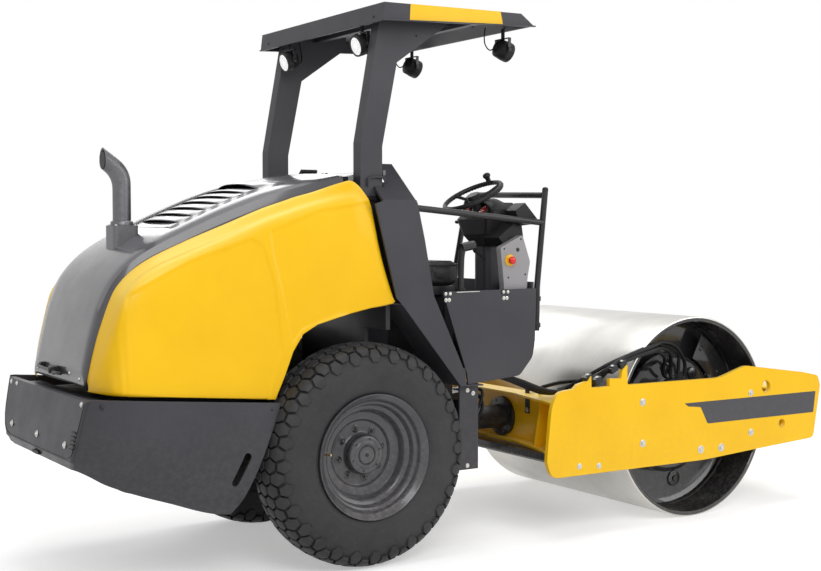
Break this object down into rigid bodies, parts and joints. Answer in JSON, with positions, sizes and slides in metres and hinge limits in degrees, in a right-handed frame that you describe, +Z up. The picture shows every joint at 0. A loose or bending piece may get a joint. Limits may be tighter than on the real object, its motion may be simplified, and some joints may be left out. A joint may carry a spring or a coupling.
{
  "type": "single-drum soil compactor",
  "caption": "Ride-on roller with a smooth steel drum in a front yoke, rubber tyres behind, a jointed frame, lifting hood and an open platform under a canopy",
  "frame": {"origin": "centre of the footprint on the ground, halfway along and across the machine", "axes": "X forward to the drum, Y to the left, Z up"},
  "size_m": [4.5685, 1.48, 2.7439],
  "materials": {
    "yellow_paint": "gloss",
    "dark_grey_paint": "satin",
    "black_paint": "satin",
    "tyre_rubber": "matte",
    "drum_steel": "satin",
    "cast_iron": "rough",
    "seat_vinyl": "matte",
    "pale_grey_plastic": "matte",
    "rod_chrome": "polished",
    "hose_rubber": "matte"
  },
  "bodies": {
    "rear_frame": {"bulkhead": "black_paint", "canopy_post_left": "dark_grey_paint", "canopy_post_right": "dark_grey_paint", "canopy_roof": "dark_grey_paint", "control_box": "pale_grey_plastic", "counterweight": "dark_grey_paint", "dash_pod": "black_paint", "drive_lever": "black_paint", "engine_block": "cast_iron", "handrail_front": "black_paint", "handrail_right": "black_paint", "hood_front_cover": "dark_grey_paint", "lever_console": "black_paint", "pillar_cover_left": "dark_grey_paint", "pillar_cover_right": "dark_grey_paint", "platform_tub": "dark_grey_paint", "rear_axle": "cast_iron", "rear_chassis": "black_paint", "seat_back": "seat_vinyl", "seat_base": "black_paint", "seat_cushion": "seat_vinyl", "side_skirt_left": "dark_grey_paint", "side_skirt_right": "dark_grey_paint", "steering_column": "dark_grey_paint", "work_lamp_front_left": "black_paint", "work_lamp_front_right": "black_paint", "work_lamp_rear_left": "black_paint", "work_lamp_rear_right": "black_paint"},
    "hood": {"hood_shell": "dark_grey_paint", "hood_side_right": "yellow_paint", "hood_side_left": "yellow_paint", "louvre_panel": "black_paint", "exhaust_stack": "dark_grey_paint", "hood_latch": "black_paint"},
    "steering_wheel": {"steering_wheel": "black_paint"},
    "wheel_right": {"tyre_right": "tyre_rubber", "rim_right": "dark_grey_paint"},
    "wheel_left": {"tyre_left": "tyre_rubber", "rim_left": "dark_grey_paint"},
    "hitch": {"hitch_knuckle": "black_paint"},
    "front_frame": {"yoke_plate_right": "yellow_paint", "yoke_plate_left": "yellow_paint", "rear_crossbeam": "yellow_paint", "front_crossbeam": "yellow_paint", "scraper_rear": "black_paint", "scraper_front": "black_paint", "drum_carrier_right": "black_paint", "drum_carrier_left": "black_paint", "hitch_flange": "black_paint", "drum_hose": "hose_rubber"},
    "drum": {"drum_shell": "drum_steel", "drum_axle": "black_paint"},
    "barrel": {"steering_barrel": "black_paint"},
    "rod": {"steering_rod": "rod_chrome"}
  },
  "joints": [
    {"name": "hood_hinge", "type": "hinge", "parent": "rear_frame", "child": "hood", "pos_m": [-0.9142, 0, 1.905], "axis": [0, 1, 0], "range_deg": [0, 55]},
    {"name": "steering_wheel_turn", "type": "hinge", "parent": "rear_frame", "child": "steering_wheel", "pos_m": [0.0008, -0.3, 1.817], "axis": [-0.454, 0, 0.891], "continuous": true},
    {"name": "wheel_right_spin", "type": "hinge", "parent": "rear_frame", "child": "wheel_right", "pos_m": [-0.8622, -0.565, 0.545], "axis": [0, 1, 0], "continuous": true},
    {"name": "wheel_left_spin", "type": "hinge", "parent": "rear_frame", "child": "wheel_left", "pos_m": [-0.8622, 0.565, 0.545], "axis": [0, 1, 0], "continuous": true},
    {"name": "articulation", "type": "hinge", "parent": "rear_frame", "child": "hitch", "pos_m": [0.1378, 0, 0.56], "axis": [0, 0, 1], "range_deg": [-30, 30]},
    {"name": "oscillation", "type": "hinge", "parent": "hitch", "child": "front_frame", "pos_m": [0.3378, 0, 0.56], "axis": [1, 0, 0], "range_deg": [-8, 8]},
    {"name": "drum_spin", "type": "hinge", "parent": "front_frame", "child": "drum", "pos_m": [1.2798, 0, 0.57], "axis": [0, 1, 0], "continuous": true},
    {"name": "barrel_swing", "type": "hinge", "parent": "rear_frame", "child": "barrel", "pos_m": [-0.2272, 0.27, 0.56], "axis": [0, 0, 1], "range_deg": [-9, 9]},
    {"name": "rod_slide", "type": "slide", "parent": "barrel", "child": "rod", "axis": [0.9993, -0.0381, 0], "range_m": [-0.135, 0.135]}
  ],
  "couplings": [
    {"joint": "barrel_swing", "follows": "articulation", "ratio": 0.267},
    {"joint": "rod_slide", "follows": "articulation", "m_per_rad": -0.2515}
  ]
}
